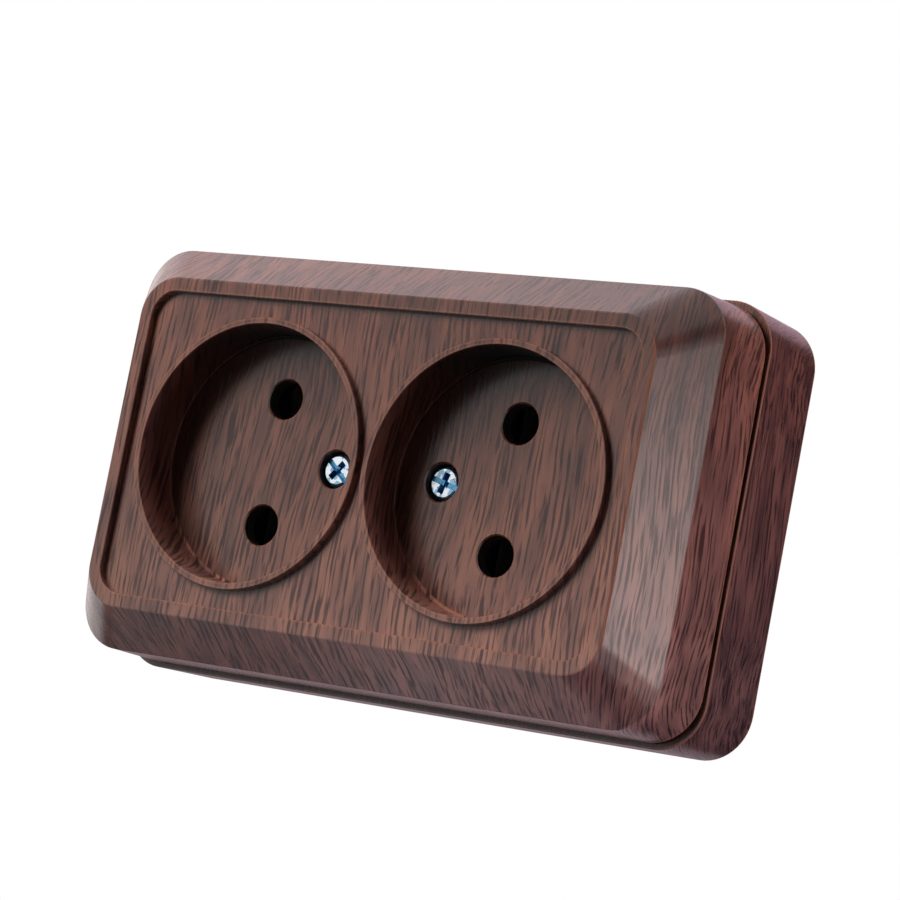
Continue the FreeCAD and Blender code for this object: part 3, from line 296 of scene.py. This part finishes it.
# Spark-eroded mould grain of about 0.4 mm
grit = add(tree, "ShaderNodeTexNoise", {"Scale": 2500.0, "Detail": 3.0},
           {"Vector": place}).outputs["Fac"]
clouds = add(tree, "ShaderNodeTexNoise", {"Scale": 60.0, "Detail": 2.0},
             {"Vector": place}).outputs["Fac"]
tint = add(tree, "ShaderNodeMix", {6: colour("#241f1d"), 7: colour("#342d2a")}, {0: clouds},
           data_type="RGBA")
tree.links.new(tint.outputs[2], shader.inputs["Base Color"])
dull = add(tree, "ShaderNodeMapRange", {1: 0.3, 2: 0.7, 3: 0.45, 4: 0.62}, {0: grit})
tree.links.new(dull.outputs[0], shader.inputs["Roughness"])
relief = add(tree, "ShaderNodeBump", {"Strength": 0.3, "Distance": 0.00003}, {"Height": grit})
tree.links.new(relief.outputs[0], shader.inputs["Normal"])
shader.inputs["IOR"].default_value = 1.52
dress("contact_carrier", carrier_plastic)


# Brass bars, contacts and rivets
# The two bars join the contacts of one pole and end in the wire terminals.
# Rolled brass strip, punched and bent, with the fine lengthwise lines of the rolling mill.

brass, tree, shader = new_material("rolled_brass_strip")
place = add(tree, "ShaderNodeTexCoord").outputs["Object"]
# Rolling lines 0.15 mm apart along X
line_place = add(tree, "ShaderNodeMapping", {"Scale": (90.0, 5000.0, 6500.0)},
                 {"Vector": place}).outputs[0]
lines = add(tree, "ShaderNodeTexNoise", {"Scale": 1.0, "Detail": 2.0},
            {"Vector": line_place}).outputs["Fac"]
tarnish = add(tree, "ShaderNodeTexNoise", {"Scale": 220.0, "Detail": 4.0, "Roughness": 0.6},
              {"Vector": place})
stain = add(tree, "ShaderNodeMapRange", {1: 0.4, 2: 0.7, 3: 0.0, 4: 1.0},
            {0: tarnish.outputs["Fac"]}).outputs[0]
tint = add(tree, "ShaderNodeMix", {6: colour("#d9b765"), 7: colour("#a9833f")}, {0: stain},
           data_type="RGBA")
tree.links.new(tint.outputs[2], shader.inputs["Base Color"])
dull = add(tree, "ShaderNodeMapRange", {1: 0.3, 2: 0.7, 3: 0.24, 4: 0.40}, {0: lines})
tree.links.new(dull.outputs[0], shader.inputs["Roughness"])
relief = add(tree, "ShaderNodeBump", {"Strength": 0.2, "Distance": 0.00001}, {"Height": lines})
tree.links.new(relief.outputs[0], shader.inputs["Normal"])
shader.inputs["Metallic"].default_value = 1.0
for name in nodes:
    if name.endswith("_bar") or name == "contact_rivets":
        dress(name, brass)

# The contacts are tin plated, and dull from the oxide on the tin
tin, tree, shader = new_material("dulled_tin_plate_on_brass")
place = add(tree, "ShaderNodeTexCoord").outputs["Object"]
clouds = add(tree, "ShaderNodeTexNoise", {"Scale": 500.0, "Detail": 3.0},
             {"Vector": place}).outputs["Fac"]
tint = add(tree, "ShaderNodeMix", {6: colour("#6b6d72"), 7: colour("#7f7a72")}, {0: clouds},
           data_type="RGBA")
tree.links.new(tint.outputs[2], shader.inputs["Base Color"])
dull = add(tree, "ShaderNodeMapRange", {1: 0.3, 2: 0.7, 3: 0.38, 4: 0.52}, {0: clouds})
tree.links.new(dull.outputs[0], shader.inputs["Roughness"])
shader.inputs["Metallic"].default_value = 1.0
for name in nodes:
    if name.startswith("pin_contact"):
        dress(name, tin)


# Spring clips
# A bent steel clip presses the leaves of each contact on the plug's pin.
# Hardened spring steel with the blue-brown film of its heat treatment.

spring_steel, tree, shader = new_material("blued_spring_steel")
place = add(tree, "ShaderNodeTexCoord").outputs["Object"]
scale = add(tree, "ShaderNodeTexNoise", {"Scale": 300.0, "Detail": 3.0},
            {"Vector": place}).outputs["Fac"]
tint = add(tree, "ShaderNodeMix", {6: colour("#5b6069"), 7: colour("#7b6a5c")}, {0: scale},
           data_type="RGBA")
tree.links.new(tint.outputs[2], shader.inputs["Base Color"])
dull = add(tree, "ShaderNodeMapRange", {1: 0.3, 2: 0.7, 3: 0.28, 4: 0.42}, {0: scale})
tree.links.new(dull.outputs[0], shader.inputs["Roughness"])
shader.inputs["Metallic"].default_value = 1.0
for name in nodes:
    if name.startswith("spring_clip"):
        dress(name, spring_steel)


# Terminals, nuts and carrier screws
# Clamp plates, square nuts and screws hold the wires, and two screws hold the carrier.
# Cold-formed steel, zinc plated and passivated, dull from tumbling in the plating drum.

zinc, tree, shader = new_material("zinc_plated_steel_tumbled")
place = add(tree, "ShaderNodeTexCoord").outputs["Object"]
# Crystal patches of the plating, about 0.5 mm
spangle = add(tree, "ShaderNodeTexVoronoi", {"Scale": 1900.0}, {"Vector": place}).outputs["Distance"]
clouds = add(tree, "ShaderNodeTexNoise", {"Scale": 400.0, "Detail": 3.0},
             {"Vector": place}).outputs["Fac"]
tint = add(tree, "ShaderNodeMix", {6: colour("#c3c8cc"), 7: colour("#9fb0bd")}, {0: clouds},
           data_type="RGBA")
tree.links.new(tint.outputs[2], shader.inputs["Base Color"])
dull = add(tree, "ShaderNodeMapRange", {1: 0.0, 2: 0.8, 3: 0.24, 4: 0.40}, {0: spangle})
tree.links.new(dull.outputs[0], shader.inputs["Roughness"])
shader.inputs["Metallic"].default_value = 1.0
for name in nodes:
    if name.startswith("clamp_plate") or name in ("terminal_nuts", "terminal_screws",
                                                  "cover_nuts", "carrier_screws"):
        dress(name, zinc)


# Front cover
# One moulding with a bevelled rim, a raised border, two round cups and their pin holes.
# Injection-moulded ABS under the same wood-grain film, satin, with its grain along Z.

cover_film = woodgrain("woodgrain_film_on_abs_cover", (0.0, 0.0, 0.0), "#6b4840", "#8c5d4e", "#2b191a",
                       (0.0256, 0.0485, 0.0283))
dress("front_cover", cover_film)


# Cover screws
# One in the sunk seat of each cup, with a combined slot and cross in a flat round head.
# Cold-formed steel with bright zinc and a blue passivation that pools in the recess.

bright_zinc, tree, shader = new_material("bright_zinc_blue_passivated")
place = add(tree, "ShaderNodeTexCoord").outputs["Object"]
apart = add(tree, "ShaderNodeSeparateXYZ", links={0: place})
# The head's face stands 25.2 mm above the wall, and the recess is up to 1.3 mm deep
sunk = add(tree, "ShaderNodeMapRange", {1: -0.0251, 2: -0.0246, 3: 0.0, 4: 1.0},
           {0: apart.outputs["Y"]}).outputs[0]
clouds = add(tree, "ShaderNodeTexNoise", {"Scale": 900.0, "Detail": 3.0},
             {"Vector": place}).outputs["Fac"]
face = add(tree, "ShaderNodeMix", {6: colour("#f2f5f8"), 7: colour("#cfdde8")}, {0: clouds},
           data_type="RGBA")
# The passivation lies in blue pools 1 mm wide with a dark outline, where the driver has slipped
pools = add(tree, "ShaderNodeTexNoise", {"Scale": 1100.0, "Detail": 2.0},
            {"Vector": place}).outputs["Fac"]
pool = add(tree, "ShaderNodeMapRange", {1: 0.53, 2: 0.56, 3: 0.0, 4: 0.8}, {0: pools}).outputs[0]
blue = add(tree, "ShaderNodeMath", links={0: pool, 1: sunk}, operation="MAXIMUM").outputs[0]
washed = add(tree, "ShaderNodeMix", {7: colour("#5f9cc2")}, {0: blue, 6: face.outputs[2]},
             data_type="RGBA")
outline = add(tree, "ShaderNodeMath", {1: 0.53, 2: 0.012}, {0: pools}, operation="COMPARE").outputs[0]
tint = add(tree, "ShaderNodeMix", {7: colour("#2b3a47")}, {0: outline, 6: washed.outputs[2]},
           data_type="RGBA")
tree.links.new(tint.outputs[2], shader.inputs["Base Color"])
dull = add(tree, "ShaderNodeMapRange", {1: 0.3, 2: 0.7, 3: 0.18, 4: 0.32}, {0: clouds})
tree.links.new(dull.outputs[0], shader.inputs["Roughness"])
shader.inputs["Metallic"].default_value = 1.0
dress("cover_screws", bright_zinc)


# Floor
# A plain pale studio floor, well below the part, which hangs as it does on its wall.

floor_mesh = bmesh.new()
bmesh.ops.create_grid(floor_mesh, x_segments=2, y_segments=2, size=0.8)
bmesh.ops.translate(floor_mesh, verts=floor_mesh.verts, vec=(0.0, 0.0, -1.3))
floor_data = bpy.data.meshes.new("floor")
floor_mesh.to_mesh(floor_data)
floor_mesh.free()
floor = bpy.data.objects.new("floor", floor_data)
bpy.context.scene.collection.objects.link(floor)
floor_paint, tree, shader = new_material("matt_white_studio_floor")
place = add(tree, "ShaderNodeTexCoord").outputs["Object"]
clouds = add(tree, "ShaderNodeTexNoise", {"Scale": 8.0, "Detail": 2.0},
             {"Vector": place}).outputs["Fac"]
tint = add(tree, "ShaderNodeMix", {6: colour("#e9e9e8"), 7: colour("#efefee")}, {0: clouds},
           data_type="RGBA")
tree.links.new(tint.outputs[2], shader.inputs["Base Color"])
shader.inputs["Roughness"].default_value = 0.8
floor_data.materials.append(floor_paint)


# Flags
# Black cloth cards round the part that keep the white studio out of its gloss.
# They hang out of sight, throw no shadow and show only in reflections.


def flag(name, towards, distance, size):
    """A square card that faces the part, placed in a direction from its middle."""
    card = bmesh.new()
    bmesh.ops.create_grid(card, x_segments=2, y_segments=2, size=size / 2)
    direction = Vector(towards).normalized()
    turn = direction.to_track_quat("Z", "Y").to_matrix().to_4x4()
    bmesh.ops.transform(card, verts=card.verts, matrix=Matrix.Translation(direction * distance) @ turn)
    data = bpy.data.meshes.new(name)
    card.to_mesh(data)
    card.free()
    data.materials.append(black_cloth)
    made = bpy.data.objects.new(name, data)
    made.visible_camera = False
    made.visible_diffuse = False
    made.visible_shadow = False
    bpy.context.scene.collection.objects.link(made)


black_cloth, tree, shader = new_material("black_cotton_velvet")
place = add(tree, "ShaderNodeTexCoord").outputs["Object"]
nap = add(tree, "ShaderNodeTexNoise", {"Scale": 90.0, "Detail": 3.0}, {"Vector": place}).outputs["Fac"]
tint = add(tree, "ShaderNodeMix", {6: colour("#1b1716"), 7: colour("#2a2422")}, {0: nap},
           data_type="RGBA")
tree.links.new(tint.outputs[2], shader.inputs["Base Color"])
shader.inputs["Roughness"].default_value = 0.9
shader.inputs["Specular IOR Level"].default_value = 0.1
flag("rear_flag", (0.05, 0.93, -0.30), 0.9, 2.7)
flag("top_flag", (0.78, -0.27, 0.56), 1.0, 0.36)
flag("low_flag", (0.42, -0.25, -0.87), 0.4, 0.36)
flag("left_flag", (-0.61, 0.10, -0.79), 0.40, 0.05)
flag("end_flag", (-0.765, 0.15, -0.63), 0.40, 0.12)
flag("front_flag", (0.2, -0.98, 0.1), 0.35, 0.25)


# Light
# Soft boxes at the upper left and the right, and weak ones below and behind, in a white studio.
# Some give light but no highlight, and some are seen only in the gloss.

world = bpy.data.worlds.new("studio")
bpy.context.scene.world = world
world.use_nodes = True
tree = world.node_tree
tree.nodes.clear()
path = add(tree, "ShaderNodeLightPath")
seen = add(tree, "ShaderNodeMath",
           links={0: path.outputs["Is Camera Ray"], 1: path.outputs["Is Glossy Ray"]},
           operation="MAXIMUM").outputs[0]
shown = add(tree, "ShaderNodeMath", links={0: seen, 1: path.outputs["Is Transmission Ray"]},
            operation="MAXIMUM").outputs[0]
ambient = add(tree, "ShaderNodeBackground", {"Color": (1.0, 1.0, 1.0, 1.0), "Strength": 0.015})
backdrop = add(tree, "ShaderNodeBackground", {"Color": (1.0, 1.0, 1.0, 1.0), "Strength": 1.0})
studio = add(tree, "ShaderNodeMixShader",
             links={0: shown, 1: ambient.outputs[0], 2: backdrop.outputs[0]})
add(tree, "ShaderNodeOutputWorld", links={"Surface": studio.outputs[0]})


def soft_box(name, towards, distance, size, tint, power, hidden):
    """A square lamp that faces the part, placed in a direction from its middle.

    hidden is the kind of ray that passes it by.
    """
    lamp = bpy.data.lights.new(name, "AREA")
    lamp.shape = "SQUARE"
    lamp.size = size
    lamp.color = colour(tint)[:3]
    lamp.energy = power
    made = bpy.data.objects.new(name, lamp)
    made.visible_glossy = hidden != "GLOSSY"
    made.visible_diffuse = hidden != "DIFFUSE"
    direction = Vector(towards).normalized()
    turn = direction.to_track_quat("Z", "Y").to_matrix().to_4x4()
    made.matrix_world = Matrix.Translation(direction * distance) @ turn
    bpy.context.scene.collection.objects.link(made)


soft_box("key_lamp", (-0.56, -0.68, 0.47), 0.6, 0.32, "#ffffff", 4.2, "GLOSSY")
soft_box("side_lamp", (0.93, 0.15, 0.33), 0.8, 0.5, "#efeaff", 5.4, "GLOSSY")
soft_box("rim_lamp", (0.93, -0.34, -0.02), 0.9, 0.28, "#fffaf6", 1.1, "DIFFUSE")
soft_box("sky_lamp", (-0.57, 0.32, 0.76), 0.9, 0.8, "#ffc4df", 0.7, "")
soft_box("back_lamp", (-0.2, 0.98, 0.0), 0.8, 0.5, "#ffffff", 3.0, "GLOSSY")
soft_box("band_lamp", (-0.57, 0.80, -0.11), 0.8, 0.8, "#ffe6f0", 0.75, "DIFFUSE")
soft_box("corner_lamp", (-0.22, 0.80, 0.54), 0.8, 0.58, "#ffd6ea", 0.75, "DIFFUSE")
soft_box("low_lamp", (0.30, 0.06, -0.95), 0.4, 0.2, "#e2d8ff", 0.65, "GLOSSY")


# Camera
# Solved from the photograph's edges together with the part's sizes.

lens = bpy.data.cameras.new("photo_camera")
lens.lens = 131.66
lens.sensor_width = 36.0
camera = bpy.data.objects.new("photo_camera", lens)
right = Vector((0.8188, 0.5425, 0.1876))
up = Vector((-0.0914, -0.1995, 0.9756))
back = right.cross(up)
turn = Matrix((right, up, back)).transposed().to_4x4()
camera.matrix_world = Matrix.Translation((0.2756, -0.4084, -0.0486)) @ turn
bpy.context.scene.collection.objects.link(camera)
bpy.context.scene.camera = camera
bpy.context.scene.view_settings.view_transform = "Standard"
